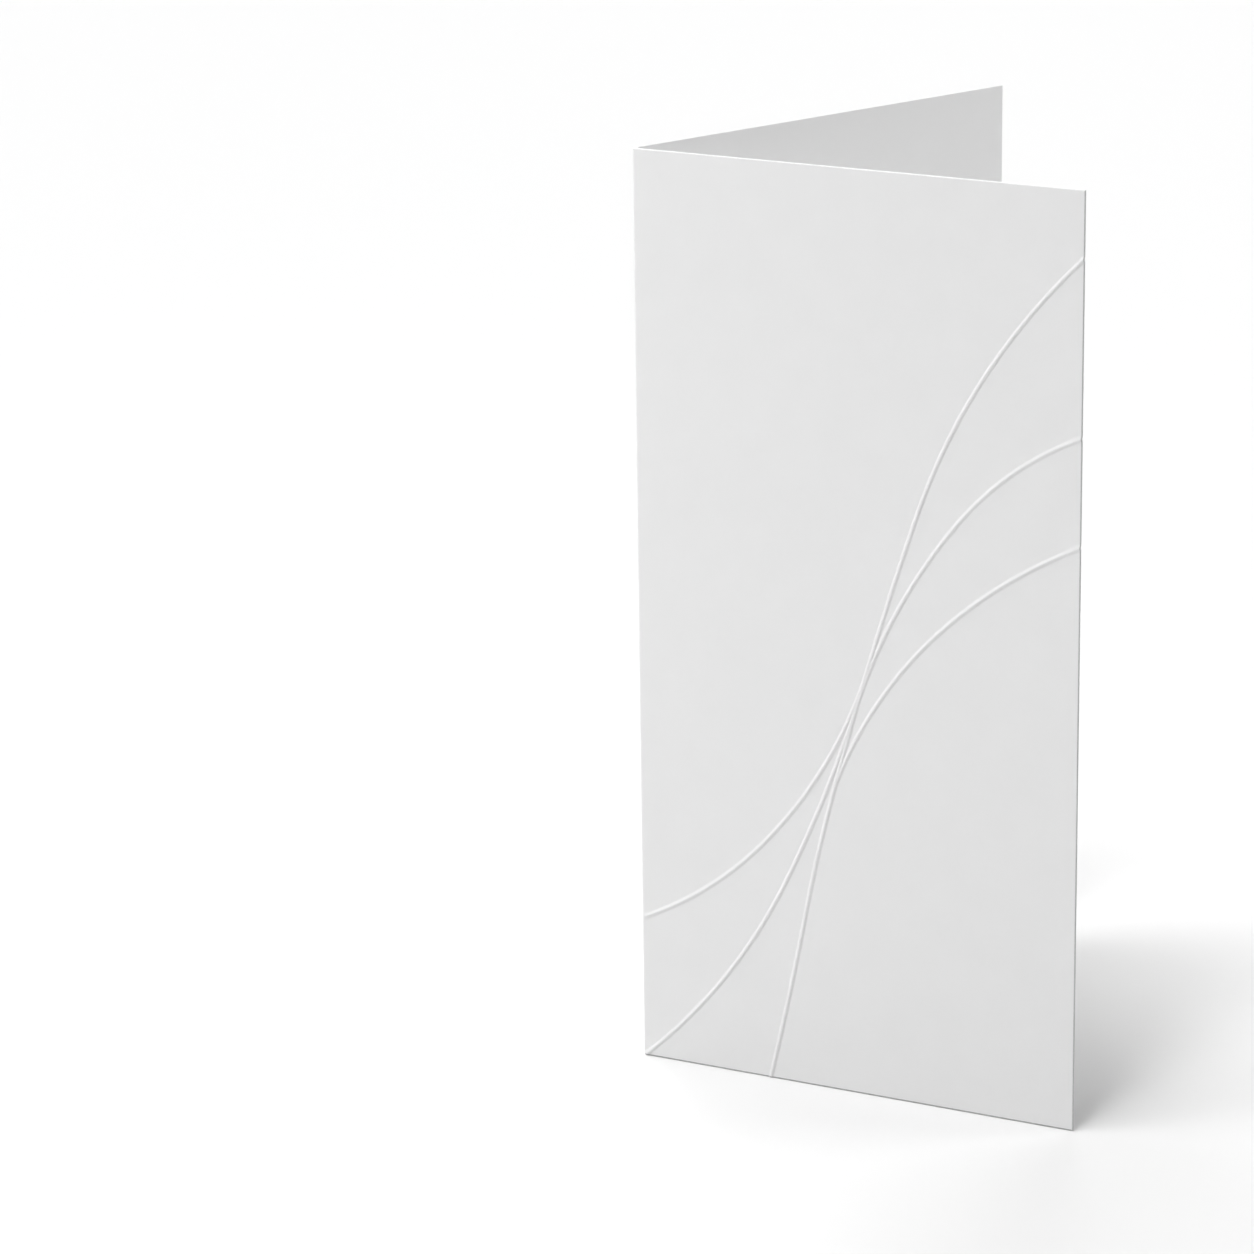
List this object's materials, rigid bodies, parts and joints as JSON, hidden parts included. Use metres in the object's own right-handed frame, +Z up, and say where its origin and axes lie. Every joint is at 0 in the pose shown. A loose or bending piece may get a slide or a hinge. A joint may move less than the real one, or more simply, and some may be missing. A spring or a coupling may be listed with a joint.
{
  "type": "leaflet",
  "caption": "Folded leaflet of heavy white card, standing half open, with fine blind-embossed lines sweeping in curves across its front panel.",
  "frame": {"origin": "on the surface that the leaflet stands on, in the middle of its footprint", "axes": "+Z up along the fold; the fold points to -X and the panels open towards +X, the front panel on the -Y side"},
  "size_m": [0.0892, 0.1122, 0.21],
  "materials": {
    "card": "matt, uncoated"
  },
  "bodies": {
    "root": {"leaflet": "card"}
  },
  "joints": []
}
